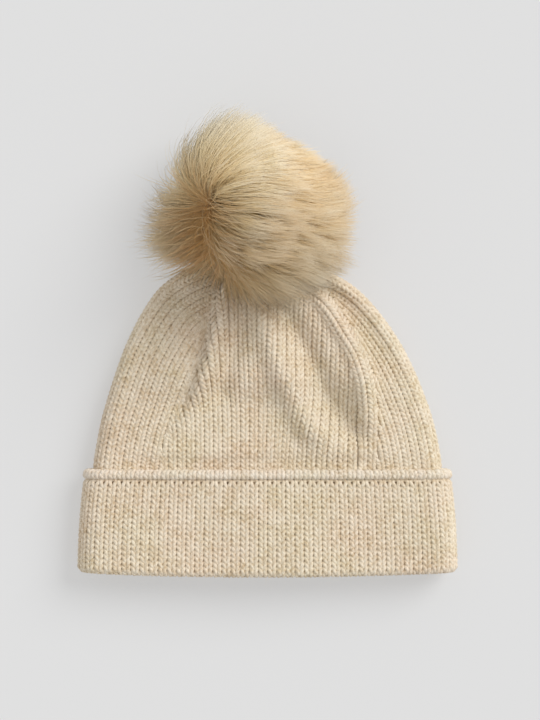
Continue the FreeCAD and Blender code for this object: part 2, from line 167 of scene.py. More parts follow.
def mix_colours(tree, factor, first, second, blend="MIX"):
    """A colour mix; first and second are sockets or colours."""
    node = tree.nodes.new("ShaderNodeMix")
    node.data_type = "RGBA"
    node.blend_type = blend
    sockets = {s.identifier: s for s in node.inputs}
    for socket, value in (
        (sockets["Factor_Float"], factor), (sockets["A_Color"], first), (sockets["B_Color"], second),
    ):
        if isinstance(value, bpy.types.NodeSocket):
            tree.links.new(value, socket)
        else:
            socket.default_value = value
    return next(s for s in node.outputs if s.identifier == "Result_Color")


def scaled_noise(tree, scale, detail=3.0, roughness=0.55, low=0.3, high=0.7):
    """A noise spread over 0 to 1, in the piece's own coordinates."""
    where = add_node(tree, "ShaderNodeTexCoord")
    noise = add_node(tree, "ShaderNodeTexNoise", Scale=scale, Detail=detail, Roughness=roughness)
    tree.links.new(where.outputs["Object"], noise.inputs["Vector"])
    spread = add_node(tree, "ShaderNodeMapRange")
    spread.inputs["From Min"].default_value = low
    spread.inputs["From Max"].default_value = high
    tree.links.new(noise.outputs["Fac"], spread.inputs["Value"])
    return spread.outputs["Result"]


def yarn_material(name, light, dark, pink, green):
    """Brushed yarn: mottled in soft clouds and from stitch to stitch, its light flecks partly painted glints;
    fine fibres along it.
    """
    material, tree, shader = new_material(name, 0.9, sheen=0.25, sheen_roughness=0.6, specular=0.15)
    clouds = scaled_noise(tree, 28.0, detail=2.0, low=0.38, high=0.62)
    patches = scaled_noise(tree, 95.0, detail=2.0, low=0.35, high=0.65)
    # Light flecks: partly random colour from stitch to stitch, partly painted glints on the fibres.
    colour_and_glint_flecks = scaled_noise(tree, 520.0, detail=2.0, low=0.35, high=0.65)
    fibres = scaled_noise(tree, 2600.0, detail=2.0, low=0.2, high=0.8)
    base = mix_colours(tree, colour_and_glint_flecks, dark, light)
    tint = mix_colours(tree, clouds, pink, green)
    tinted = mix_colours(tree, 0.35, base, tint, blend="MULTIPLY")
    paler = mix_colours(tree, 0.5, tinted, light)
    shade = mix_colours(tree, patches, tinted, paler)
    tree.links.new(shade, shader.inputs["Base Color"])
    bump = add_node(tree, "ShaderNodeBump", Strength=0.6, Distance=0.0005)
    tree.links.new(fibres, bump.inputs["Height"])
    tree.links.new(bump.outputs["Normal"], shader.inputs["Normal"])
    return material


# ---------------------------------------------------------------- mesh helpers


def mesh_piece(name, points, faces, material):
    """A mesh object from arrays of points and equal-sized faces."""
    points = np.asarray(points, np.float32)
    faces = np.asarray(faces, np.int32)
    mesh = bpy.data.meshes.new(name)
    mesh.vertices.add(len(points))
    mesh.vertices.foreach_set("co", points.ravel())
    corners = faces.shape[1]
    mesh.loops.add(faces.size)
    mesh.loops.foreach_set("vertex_index", faces.ravel())
    mesh.polygons.add(len(faces))
    mesh.polygons.foreach_set("loop_start", np.arange(0, faces.size, corners, dtype=np.int32))
    mesh.polygons.foreach_set("loop_total", np.full(len(faces), corners, np.int32))
    mesh.polygons.foreach_set("use_smooth", np.full(len(faces), True))
    mesh.update(calc_edges=True)
    mesh.materials.append(material)
    piece = bpy.data.objects.new(name, mesh)
    bpy.context.scene.collection.objects.link(piece)
    return piece


class Heap:
    """Points and four-cornered faces gathered from many small pieces."""

    def __init__(self):
        self.points = []
        self.faces = []
        self.count = 0

    def add(self, points, faces):
        self.points.append(np.asarray(points, np.float32).reshape(-1, 3))
        self.faces.append(np.asarray(faces, np.int64) + self.count)
        self.count += len(self.points[-1])

    def piece(self, name, material):
        return mesh_piece(name, np.concatenate(self.points), np.concatenate(self.faces), material)


def grid_faces(rows, columns):
    """Faces of a grid of points, listed row by row."""
    i = np.arange(rows - 1)[:, None]
    j = np.arange(columns - 1)[None, :]
    corner = i * columns + j
    return np.stack([corner, corner + 1, corner + columns + 1, corner + columns], axis=-1).reshape(-1, 4)


def tube_faces(stations, sides, closed):
    """Faces of a tube of rings; a closed tube joins its last ring to its first."""
    spans = stations if closed else stations - 1
    i = np.arange(spans)[:, None]
    j = np.arange(sides)[None, :]
    after = (i + 1) % stations
    k = (j + 1) % sides
    quads = np.stack([i * sides + j, after * sides + j, after * sides + k, i * sides + k], axis=-1)
    return quads.reshape(-1, 4)


# ---------------------------------------------------------------- the knit

WALE = 5.5 * MM
ROW = 3.25 * MM
WALES_ROUND = 88
LOOP_SWAY = 0.235
LEG_DRAW = 0.035
LOOP_REACH = 1.0
LOOP_DEPTH = 0.95 * MM
YARN_WIDE = 1.3 * MM
YARN_DEEP = 1.0 * MM
LOOP_STEPS = 18
YARN_SIDES = 7
LOOP_UNEVENNESS = 0.035
PLY_TURNS = 2.0
FUZZ_SHARE = 0.09
FUZZ_WIDTH = 0.045 * MM


def loop_path(t):
    """The yarn's way through one stitch per 2 pi: along the row, up the wale, and out of the cloth."""
    along = t / (2 * math.pi) + LOOP_SWAY * np.sin(2 * t) + LEG_DRAW * np.sin(t)
    up = -LOOP_REACH * np.cos(t)
    out = -LOOP_DEPTH * np.cos(2 * t)
    return along, up, out


def knit_course(place, start, end, row, closed, seed):
    """One row of knitting as a tube: place(wale, row) gives the cloth's middle and its outward normal."""
    course_rng = np.random.default_rng(seed)
    stations = max(int(round((end - start) * LOOP_STEPS)), 4)
    t = np.linspace(start, end, stations, endpoint=not closed) * 2 * math.pi
    along, up, out = loop_path(t)
    knots = max(stations // 6, 2)
    wobble = np.interp(t, np.linspace(t[0], t[-1], knots), course_rng.normal(0, LOOP_UNEVENNESS, knots))
    middle, normal = place(along, row + up + wobble)
    path = middle + normal * out[:, None]
    if closed:
        tangent = unit(np.roll(path, -1, axis=0) - np.roll(path, 1, axis=0))
    else:
        tangent = unit(np.gradient(path, axis=0))
    side = unit(np.cross(tangent, normal))
    lift = np.cross(side, tangent)
    angle = np.linspace(0, 2 * math.pi, YARN_SIDES, endpoint=False)
    swell = 1 + 0.08 * np.cos(2 * angle[None, :] - PLY_TURNS * t[:, None])
    taper = np.ones(stations)
    if not closed:
        taper = np.clip(np.minimum(np.arange(stations), np.arange(stations)[::-1]) / 2.0, 0.05, 1)
    size = swell * taper[:, None]
    rings = (
        path[:, None, :]
        + side[:, None, :] * (YARN_WIDE * np.cos(angle)[None, :] * size)[..., None]
        + lift[:, None, :] * (YARN_DEEP * np.sin(angle)[None, :] * size)[..., None]
    )
    chosen = course_rng.random(stations) < FUZZ_SHARE
    seeds = np.concatenate([path + normal * YARN_DEEP * 0.7, normal], axis=1)[chosen]
    return rings, tube_faces(stations, YARN_SIDES, closed), seeds


def make_fuzz(name, seeds, material, seed):
    """Loose fibres that stand off the yarn: thin curved ribbons that start at the seeds."""
    hairs = np.random.default_rng(seed)
    count = len(seeds)
    start, normal = seeds[:, :3], seeds[:, 3:]
    flat = hairs.normal(0, 1, (count, 3))
    flat = unit(flat - normal * np.sum(flat * normal, axis=1, keepdims=True))
    curl = unit(np.cross(normal, flat)) * hairs.normal(0, 0.6, count)[:, None]
    length = hairs.uniform(2.0, 5.5, count)[:, None] * MM
    t = np.linspace(0, 1, 4)[None, :, None]
    lift = hairs.uniform(0.1, 0.45, count)[:, None]
    path = start[:, None, :] + (length * flat)[:, None, :] * t + (length * curl)[:, None, :] * t**2
    path = path + (length * lift * normal)[:, None, :] * (t * (1.25 - 0.75 * t))
    path[..., 2] = np.maximum(path[..., 2], 0.1 * MM)
    tangent = unit(np.gradient(path, axis=1))
    taper = np.array([1, 1, 0.8, 0.2])[None, :, None]
    side = unit(np.cross(tangent, normal[:, None, :])) * FUZZ_WIDTH * taper
    points = np.stack([path - side, path + side], axis=2).reshape(-1, 3)
    k = np.arange(3)[None, :] * 2
    base = (np.arange(count) * 8)[:, None] + k
    faces = np.stack([base, base + 1, base + 3, base + 2], axis=-1).reshape(-1, 4)
    return mesh_piece(name, points, faces, material)


def with_normals(place):
    """A place function that also gives normals, from a plain one that gives points."""
    step = 0.02

    def both(wale, row):
        middle = place(wale, row)
        across = place(wale + step, row) - place(wale - step, row)
        up = place(wale, row + step) - place(wale, row - step)
        return middle, unit(np.cross(across, up))

    return both


def backing_sheet(place, ranges, rows, depth, wale_step=1.0):
    """Points and faces of a thin sheet behind the loops, row by row between the rows' own ends."""
    low = min(start for start, _ in ranges)
    high = max(end for _, end in ranges)
    columns = max(int((high - low) / wale_step), 2) + 1
    share = np.linspace(0, 1, columns)
    grid = []
    for (start, end), row in zip(ranges, rows):
        middle, normal = place(start + (end - start) * share, np.full(columns, float(row)))
        grid.append(middle - normal * depth)
    return np.array(grid).reshape(-1, 3), grid_faces(len(rows), columns)


# ---------------------------------------------------------------- the cuff

FABRIC = 1.95 * MM
FOLD_RADIUS = 1.75 * MM
EDGE_RADIUS = 13.0 * MM
HEM_SAG = 2.6 * MM


def section_curve(half_width, height, edge_radius, samples=1441):
    """A closed section through the flat cuff, from the middle of the underside round by +X."""
    flat = half_width - edge_radius
    bottom = np.linspace(0, flat, 200)
    turn = np.linspace(-math.pi / 2, math.pi / 2, 240)
    top = np.linspace(flat, 0, 200)
    crown = (height - 2 * edge_radius) * (1 - (top / flat) ** 2)
    xs = np.concatenate([bottom, flat + edge_radius * np.cos(turn), top])
    zs = np.concatenate([0 * bottom, edge_radius + edge_radius * np.sin(turn), 2 * edge_radius + crown])
    xs = np.concatenate([xs, -xs[::-1]])
    zs = np.concatenate([zs, zs[::-1]])
    length = np.concatenate([[0], np.cumsum(np.hypot(np.diff(xs), np.diff(zs)))])
    even = np.linspace(0, length[-1], samples)
    return np.interp(even, length, xs), np.interp(even, length, zs), np.linspace(0, 1, samples)


SECTION_X, SECTION_Z, SECTION_SHARE = section_curve(CUFF_HALF, CUFF_HEIGHT, EDGE_RADIUS)


def around(share, y, inset):
    """A point on the cuff's section at y, drawn in from its outside."""
    share = share % 1.0
    x = np.interp(share, SECTION_SHARE, SECTION_X)
    z = np.interp(share, SECTION_SHARE, SECTION_Z)
    up = np.clip((y - HEM_Y) / (CUFF_TOP_Y - HEM_Y), 0, 1)
    middle = CUFF_HEIGHT / 2
    half = CUFF_HALF + (CUFF_TOP_HALF - CUFF_HALF) * up
    half = half + 1.7 * MM * (1 - up) ** 0.5 + 0.8 * MM * np.sin(math.pi * up)
    x = x * (half - inset) / CUFF_HALF
    z = middle + (z - middle) * (middle - inset) / middle
    return x, z


def cuff_wave(x, z, y):
    """Slow unevenness of the cuff's front, so that it doesn't lie like a plate."""
    front = smoothstep(0.45 * CUFF_HEIGHT, 0.8 * CUFF_HEIGHT, z)
    wave = 0.9 * MM * np.sin(x * 61 + 0.8) * np.sin(y * 48 + 1.1) - 0.7 * MM * np.sin(x * 27 - 0.6)
    return z + front * (wave - 0.5 * MM)


def cuff_cloth(wale, row):
    """The cuff's cloth: row 0 is the fold at the hem, rows above run up outside and below up inside."""
    v = row * ROW
    turn = FOLD_RADIUS * math.pi / 2
    angle = np.clip(v / FOLD_RADIUS, -math.pi / 2, math.pi / 2)
    inset = FABRIC + FOLD_RADIUS * (1 - np.sin(angle))
    climb = FOLD_RADIUS * (1 - np.cos(angle)) + np.maximum(np.abs(v) - turn, 0)
    y = HEM_Y + FABRIC + climb
    x, z = around(-wale / WALES_ROUND, y, inset)
    sag = HEM_SAG * (np.abs(x) / CUFF_HALF) ** 2.5 * np.clip(1 - climb / (60 * MM), 0, 1)
    z = cuff_wave(x, z, y)
    return np.stack([x, y + sag, z], axis=-1)


ROLL_RADIUS = 1.5 * MM


def roll_cloth(wale, row):
    """The rolled edge: rows wrap a thin roll that runs round on top of the cuff."""
    angle = row * ROW * 0.82 / (ROLL_RADIUS + 0.25 * MM)
    y = ROLL_Y + 2.3 * MM + ROLL_RADIUS * np.sin(angle)
    inset = FABRIC - 1.0 * MM - ROLL_RADIUS * (np.cos(angle) - 1)
    x, z = around(-wale / WALES_ROUND, y, inset)
    z = np.maximum(cuff_wave(x, z, y), FABRIC)
    return np.stack([x, y, z], axis=-1)


def make_ring(name, cloth, rows, material, depth):
    """A piece of knitting that goes right round, with its dark sheet of painted shade behind the loops, and
    its fuzz's seeds.
    """
    place = with_normals(cloth)
    heap = Heap()
    seeds = []
    for row in rows:
        rings, faces, row_seeds = knit_course(place, 0, WALES_ROUND, row, True, int(1000 + row * 7))
        heap.add(rings, faces)
        seeds.append(row_seeds)
    sheet_rows = np.linspace(rows[0] - 0.8, rows[-1] + 0.8, len(rows) * 2)
    ranges = [(0.0, float(WALES_ROUND))] * len(sheet_rows)
    behind = Heap()
    behind.add(*backing_sheet(place, ranges, sheet_rows, depth, wale_step=0.5))
    return [heap.piece(name, material), behind.piece(f"{name}_behind", shadow_knit)], np.concatenate(seeds)


# ---------------------------------------------------------------- the crown

CROWN_ROW = 3.05 * MM
RIDGE_WALES = 2.2


def rise(y):
    return np.clip((y - CUFF_TOP_Y) / CROWN_RISE, -0.2, 0.998)


# Half the crown's width in plan: (share of the rise, half width).
half_width_at = curve_through([
    (-0.1, 105.6 * MM), (0.0, 105.2 * MM), (0.19, 101.4 * MM), (0.375, 94.2 * MM), (0.56, 84.6 * MM),
    (0.655, 78.0 * MM), (0.75, 70.0 * MM), (0.845, 59.5 * MM), (0.92, 45 * MM), (0.97, 28 * MM),
    (1.0, 7 * MM),
])


def half_width(y):
    """Half the crown's width in plan."""
    return half_width_at(rise(y))


def lean(y):
    """How far the crown's middle line has moved to one side."""
    s = np.maximum(rise(y), 0)
    return tip[0] * s**2.5


edge_radius_at = curve_through([(-0.2, 9.5 * MM), (0.1, 9.5 * MM), (0.7, 8.5 * MM), (1.0, 7.0 * MM)])
middle_height_at = curve_through([
    (-0.2, 12.4 * MM), (0.0, 12.4 * MM), (0.16, 10.8 * MM), (0.55, 10.6 * MM), (0.8, 12.5 * MM),
    (1.0, 18.0 * MM),
])
puff_at = curve_through([
    (-0.2, 0.2 * MM), (0.03, 0.6 * MM), (0.10, 3.2 * MM), (0.29, 3.2 * MM), (0.46, 9.0 * MM),
    (0.7, 9.0 * MM), (1.0, 3.0 * MM),
])

# The front's decrease lines and folds in plan: (up the crown, across).
left_line = curve_through(
    [(-0.04, -67 * MM), (0.145, -62 * MM), (0.35, -47.5 * MM), (0.585, -37.5 * MM), (0.72, -34 * MM),
     (0.84, -30.5 * MM), (1.0, -14 * MM)]
)
right_line = curve_through(
    [(-0.04, 67 * MM), (0.215, 68 * MM), (0.375, 66.5 * MM), (0.55, 60.5 * MM), (0.685, 50.5 * MM),
     (0.80, 40.5 * MM), (0.875, 30 * MM), (1.0, 4 * MM)]
)
back_line = curve_through([(-0.04, 60 * MM), (0.3, 54 * MM), (0.6, 42 * MM), (0.85, 26 * MM), (1.0, 6 * MM)])


def fold_path(*points):
    """A fold's path in plan, from points given as (mm up from the cuff, mm across)."""
    return [(across * MM, CUFF_TOP_Y + up * MM) for up, across in points]


MIDDLE_CREST = fold_path((106, -5), (70, 5), (40, 18), (20, 30))
VALLEY = fold_path((106, 3), (76, 22), (46, 37), (22, 53))
LEFT_VALLEY = fold_path((104, -17), (88, -19), (70, -22), (50, -28))


def front_relief(x, y):
    """Folds on the front: the raised middle gore with its crests and valleys, and the tucked side gores."""
    s = rise(y)
    left = x - left_line(s)
    right = right_line(s) - x
    z = np.zeros(np.shape(x))
    tuck_left = 13.0 * MM * smoothstep(0.15, 0.85, s)
    tuck_right = 10.0 * MM * smoothstep(0.12, 0.6, s)
    wall_left = 1 - smoothstep(-1.5 * MM, 4.5 * MM, left)
    wall_right = 1 - smoothstep(-1.5 * MM, 4.0 * MM, right)
    z = z - tuck_left * wall_left * np.exp(-np.maximum(-left, 0) / (24 * MM))
    z = z - tuck_right * wall_right * np.exp(-np.maximum(-right, 0) / (15 * MM))
    z = z + 4.2 * MM * np.exp(-(((left - 5 * MM) / (6 * MM)) ** 2)) * smoothstep(0.05, 0.5, s)
    z = z + 5.5 * MM * np.exp(-(((right - 7.5 * MM) / (6.0 * MM)) ** 2)) * smoothstep(0.08, 0.4, s)
    for path, lift, reach in ((MIDDLE_CREST, 6.0, 8.5), (VALLEY, -7.0, 8.5), (LEFT_VALLEY, -4.5, 7.5)):
        z = z + lift * MM * np.exp(-((distance_to_path(x, y, path) / (reach * MM)) ** 2))
    return z * smoothstep(0.03, 0.2, s)


def back_relief(x, y):
    """Shallow folds on the back, which rests on the table."""
    s = rise(y)
    from_line = np.abs(x - lean(y)) - back_line(s)
    return 1.6 * MM * smoothstep(0.1, 0.7, s) * np.exp(-((from_line / (5 * MM)) ** 2))


def cloth_height(x, y, side):
    """Height of the crown's cloth in plan, away from its folded edges: side is 1 in front, -1 behind."""
    s = rise(y)
    inward = half_width(y) - np.abs(x - lean(y))
    radius = edge_radius_at(s)
    share = np.clip(inward / radius, 0, 1)
    arc = radius * np.sqrt(np.maximum(1 - (1 - share) ** 2, 0))
    puff = puff_at(s) * smoothstep(0, 42 * MM, inward - 0.3 * radius)
    middle = middle_height_at(s)
    if side > 0:
        return middle + arc + puff + front_relief(x, y)
    low = middle - arc + 0.6 * MM * smoothstep(0, 42 * MM, inward) + back_relief(x, y)
    return np.maximum(low, FABRIC + 0.2 * MM)


def gore_cloth(side):
    """A middle gore, in front or behind, whose wales run straight up."""

    def cloth(wale, row):
        y = CUFF_TOP_Y + row * CROWN_ROW
        x = wale * WALE * side
        if side > 0:
            near = np.exp(-np.maximum(x - left_line(rise(y)), 0) / (13 * MM))
            x = x - 5.0 * MM * near * smoothstep(0.15, 0.5, rise(y)) * (1 - smoothstep(0.8, 1.0, rise(y)))
            low = 1 - smoothstep(0.0, 0.40, rise(y))
            x = x - 4.5 * MM * low * np.exp(-(((x - 24 * MM) / (20 * MM)) ** 2))
        return np.stack([x, y, cloth_height(x, y, side)], axis=-1)

    return cloth


def outline_samples():
    """The crown's outline in plan from the cuff up, evenly spaced along its length."""
    s = np.sin(np.linspace(0, math.pi / 2, 1200)) * 0.997
    y = CUFF_TOP_Y + s * CROWN_RISE
    below = np.linspace(CUFF_TOP_Y - 12 * MM, CUFF_TOP_Y, 60)[:-1]
    y = np.concatenate([below, y])
    edge = half_width(y)
    length = np.concatenate([[0], np.cumsum(np.hypot(np.diff(y), np.diff(edge)))])
    length -= 12 * MM
    return y, edge, length


OUTLINE_Y, OUTLINE_EDGE, OUTLINE_LENGTH = outline_samples()


def side_cloth(hand):
    """A side gore, wrapped round the folded edge: wales run with the outline, wale 0 on the fold."""

    def cloth(wale, row):
        tau = row * CROWN_ROW
        y = np.interp(tau, OUTLINE_LENGTH, OUTLINE_Y)
        edge = np.interp(tau, OUTLINE_LENGTH, OUTLINE_EDGE)
        before, after = tau - 0.5 * MM, tau + 0.5 * MM
        dy = np.interp(after, OUTLINE_LENGTH, OUTLINE_Y) - np.interp(before, OUTLINE_LENGTH, OUTLINE_Y)
        de = np.interp(after, OUTLINE_LENGTH, OUTLINE_EDGE) - np.interp(before, OUTLINE_LENGTH, OUTLINE_EDGE)
        size = np.maximum(np.hypot(dy, de), 1e-9)
        radius = edge_radius_at(rise(y))
        d = np.abs(wale) * WALE
        quarter = radius * math.pi / 2
        angle = np.clip(d / radius, 0, math.pi / 2)
        inward = radius * (1 - np.cos(angle)) + np.maximum(d - quarter, 0)
        plan_edge = edge - inward * dy / size
        plan_y = y + inward * de / size
        front = wale >= 0
        x = hand * plan_edge + lean(plan_y)
        high = np.where(front, cloth_height(x, plan_y, 1), cloth_height(x, plan_y, -1))
        middle = middle_height_at(rise(y))
        level = middle + np.where(front, 1, -1) * radius * np.sin(angle)
        settle = smoothstep(0.35, 1.0, angle / (math.pi / 2))
        z = level * (1 - settle) + high * settle
        return np.stack([x, plan_y, np.maximum(z, FABRIC)], axis=-1)

    return cloth


def crossing(cloth, row, direction, test):
    """How many wales from the fold a side gore's row reaches before it meets the next gore."""
    wales = np.linspace(0, 24, 481)
    points = cloth(direction * wales, np.full(len(wales), float(row)))
    met = test(points[:, 0], points[:, 1])
    return wales[np.argmax(met)] if met.any() else wales[-1]


def course_ranges(rows, cloth, hand):
    """Each row's first and last wale on a side gore."""
    ranges = []
    for row in rows:
        if hand < 0:
            front = crossing(cloth, row, 1, lambda x, y: x > left_line(rise(y)) + 1.0 * MM)
        else:
            front = crossing(cloth, row, 1, lambda x, y: x < right_line(rise(y)) - 1.0 * MM)
        back = crossing(cloth, row, -1, lambda x, y: np.abs(x - lean(y)) < back_line(rise(y)) + 1.0 * MM)
        ranges.append((-back, front))
    return ranges


def knit_panel(name, cloth, ranges, rows, material, seed):
    """A panel of knitting from its rows' own first and last wales, and its fuzz's seeds."""
    place = with_normals(cloth)
    heap = Heap()
    seeds = []
    kept = [(span, row) for span, row in zip(ranges, rows) if span[1] - span[0] > 0.7]
    for (start, end), row in kept:
        rings, faces, row_seeds = knit_course(place, start, end, row, False, int(seed * 1000 + row * 13))
        heap.add(rings, faces)
        seeds.append(row_seeds)
    # A dark sheet of painted shade behind the loops, seen through the gaps between stitches.
    behind = Heap()
    behind.add(*backing_sheet(place, [k[0] for k in kept], [k[1] for k in kept], 0.9 * MM, wale_step=0.5))
    return [heap.piece(name, material), behind.piece(f"{name}_behind", shadow_knit)], np.concatenate(seeds)


def front_ranges(rows, ridge):
    """Where the front gore's rows start and end, short of the ridge that follows the right line."""
    ranges = []
    for row in rows:
        s = rise(CUFF_TOP_Y + row * CROWN_ROW)
        slope = (right_line(s + 0.01) - right_line(s - 0.01)) / (0.02 * CROWN_RISE)
        end = right_line(s) - ridge * WALE * math.hypot(1, slope)
        ranges.append((left_line(s) / WALE - 0.25, end / WALE + 0.25))
    return ranges


def ridge_cloth():
    """The narrow strip of wales beside the right line, which run with it."""
    s = np.linspace(-0.04, 0.985, 700)
    y = CUFF_TOP_Y + s * CROWN_RISE
    x = right_line(s)
    length = np.concatenate([[0], np.cumsum(np.hypot(np.diff(x), np.diff(y)))])
    window = np.ones(90) / 90
    dx = np.convolve(np.pad(np.gradient(x, length), 45, "edge"), window, "same")[45:-45]
    dy = np.sqrt(1 - np.minimum(dx * dx, 0.99))

    def cloth(wale, row):
        tau = row * CROWN_ROW + 0.04 * CROWN_RISE
        inward = (RIDGE_WALES - wale) * WALE
        px = np.interp(tau, length, x) - inward * np.interp(tau, length, dy)
        py = np.interp(tau, length, y) + inward * np.interp(tau, length, dx)
        return np.stack([px, py, cloth_height(px, py, 1)], axis=-1)

    return cloth



# ---------------------------------------------------------------- the fur

STRANDS = 34000
STRAND_RINGS = 8
CLUMPS = 900
FUR_SOFTNESS = 0.6
FUR_PIECES = 8
FUR_MM = 46
FUR_UNEVEN_MM = 3.2
STRAND_RADIUS = 0.15 * MM
STRAND_TIP = 0.012 * MM
TABLE_CLEARANCE = 0.8 * MM
TABLE_REACH = 14 * MM
TABLE_SOFTNESS = 13 * MM
CROWN_CLEARANCE = 3.2 * MM

# Two directions from the ball's centre, with the parting between them.
PARTING = np.array([(-0.82, -0.08, 0.57), (-0.52, -0.78, 0.34)])


def fibonacci_ball(count):
    """Evenly spread directions."""
    i = np.arange(count) + 0.5
    polar = np.arccos(1 - 2 * i / count)
    turn = math.pi * (1 + 5**0.5) * i
    return np.stack([np.sin(polar) * np.cos(turn), np.sin(polar) * np.sin(turn), np.cos(polar)], axis=-1)


def parting_point(directions):
    """The nearest place on the parting to each direction."""
    first, second = unit(PARTING)
    span = second - first
    t = np.clip(((directions - first) @ span) / (span @ span), 0, 1)
    return unit(first + t[:, None] * span)


def comb(directions):
    """The direction in which the pile lies at each place on the ball, away from the parting."""
    near = parting_point(directions)
    away = directions - near
    away -= directions * np.sum(away * directions, axis=-1, keepdims=True)
    return unit(away), np.arccos(np.clip(np.sum(directions * near, axis=-1), -1, 1))


def slow_field(points, seed, scale):
    """A smooth random value of about -1 to 1 at each point, from a few crossing waves."""
    waves = np.random.default_rng(seed)
    total = np.zeros(points.shape[:-1])
    for _ in range(6):
        direction = unit(waves.normal(0, 1, 3)) * scale * waves.uniform(0.6, 1.6)
        total += np.sin(points @ direction + waves.uniform(0, 2 * math.pi))
    return total / 2.6


def fur_strands():
    """Curved paths of the strands, with each one's random colour, painted shade near the parting and painted
    light on the ball's left side, and how near the parting it is.

    The lengths by direction were set against the photo's outline.
    """
    fur = np.random.default_rng(23)
    roots = fibonacci_ball(STRANDS)
    roots = unit(roots + fur.normal(0, 0.012, roots.shape))
    roots = roots[roots @ pom_axis > -0.86]
    _, spread = comb(roots)
    roots, spread = roots[spread > 0.03], spread[spread > 0.03]
    count = len(roots)
    clump_at = unit(fur.normal(0, 1, (CLUMPS, 3)))
    clump = np.argmax(roots @ clump_at.T, axis=1)
    clump_tone = fur.normal(0, 1, CLUMPS)
    clump_length = fur.normal(1, 0.05, CLUMPS)
    clump_lean = fur.normal(0, 0.10, (CLUMPS, 3))
    stray = fur.normal(0, 0.075, roots.shape) * fur.choice([0.6, 1.0, 2.2], count, p=[0.5, 0.4, 0.1])[:, None]
    stray *= 1 + 2.5 * (1 - smoothstep(0.05, 0.40, spread))[:, None]
    sway = np.stack([slow_field(roots, 31 + k, 3.2) for k in range(3)], axis=-1) * 0.16
    length = (FUR_MM + fur.normal(0, FUR_UNEVEN_MM, count)) * MM * clump_length[clump]
    length *= np.where(fur.random(count) < 0.3, fur.uniform(0.6, 0.9, count), 1)
    length *= 1 + 0.12 * np.abs(roots[:, 0]) - 0.27 * roots[:, 0] - 0.50 * np.maximum(roots[:, 1], 0)
    length *= 1 + 0.35 * np.maximum(-roots[:, 0], 0) * np.maximum(-roots[:, 1], 0)
    length *= 1 - 0.16 * np.maximum(roots[:, 2], 0) ** 2
    length *= 1 - 0.25 * (1 - smoothstep(0.0, 0.5, spread))
    t = np.linspace(0, 1, STRAND_RINGS)
    step = length / (STRAND_RINGS - 1)
    paths = np.empty((count, STRAND_RINGS, 3))
    paths[:, 0] = BALL_CENTRE + roots * (BALL_RADIUS - 0.8 * MM)
    for k in range(1, STRAND_RINGS):
        outward = unit(paths[:, k - 1] - BALL_CENTRE)
        away, now = comb(outward)
        rise_share = 1.0 - 0.45 * t[k] + 0.25 * smoothstep(0.6, 1.4, now)
        lie_share = (0.80 + 0.45 * t[k]) * (1 - 0.5 * smoothstep(0.7, 1.7, now))
        heading = outward * rise_share[:, None] + away * lie_share[:, None]
        heading = heading + clump_lean[clump] + stray + sway
        heading[:, 0] += 0.42 * np.maximum(outward[:, 1], 0) - 0.14
        heading[:, 1] -= 0.34
        heading[:, 2] -= 0.10 * t[k]
        paths[:, k] = paths[:, k - 1] + unit(heading) * step[:, None]
    guides = np.zeros((CLUMPS, STRAND_RINGS, 3))
    weights = np.zeros(CLUMPS)
    np.add.at(guides, clump, paths)
    np.add.at(weights, clump, 1)
    guides /= np.maximum(weights, 1)[:, None, None]
    pull = 0.30 * t[None, :, None] ** 1.5
    paths = paths + (guides[clump] - paths) * pull * fur.uniform(0.4, 1.2, count)[:, None, None]
    tone_and_painted_light = clump_tone[clump] * 0.35 + fur.normal(0, 0.35, count) + slow_field(roots, 77, 4.0) * 0.9
    # Painted shade: strands near the parting are darkened; painted light: strands on the ball's left side, in
    # the key light's shade, are lightened.
    tone_and_painted_light = tone_and_painted_light - 0.3 * (1 - smoothstep(0.1, 0.6, spread)) + 1.2 * np.maximum(-roots[:, 0], 0)
    return paths, roots, tone_and_painted_light, spread, fur


def keep_clear(paths):
    """Push strands, as they lie at rest, out of the backing ball and off the table and the crown."""
    shift = paths - BALL_CENTRE
    distance = np.linalg.norm(shift, axis=-1, keepdims=True)
    shift *= np.maximum(BALL_RADIUS / np.maximum(distance, 1e-9), 1)
    paths = BALL_CENTRE + shift
    low = paths[..., 2]
    pressed = np.exp((low - TABLE_REACH) / TABLE_SOFTNESS)
    pressed = TABLE_CLEARANCE + (TABLE_REACH - TABLE_CLEARANCE) * pressed
    paths[..., 2] = np.where(low < TABLE_REACH, pressed, low)
    x, y, z = paths[..., 0], paths[..., 1], paths[..., 2]
    inside = (np.abs(x - lean(y)) < half_width(y) + 2 * MM) & (y < APEX_Y + 2 * MM)
    top = cloth_height(x, y, 1) + CROWN_CLEARANCE
    over = inside & (z < top) & (z > middle_height_at(rise(y)))
    paths[..., 2] = np.where(over, top + 0.12 * (z - top), z)
    return paths


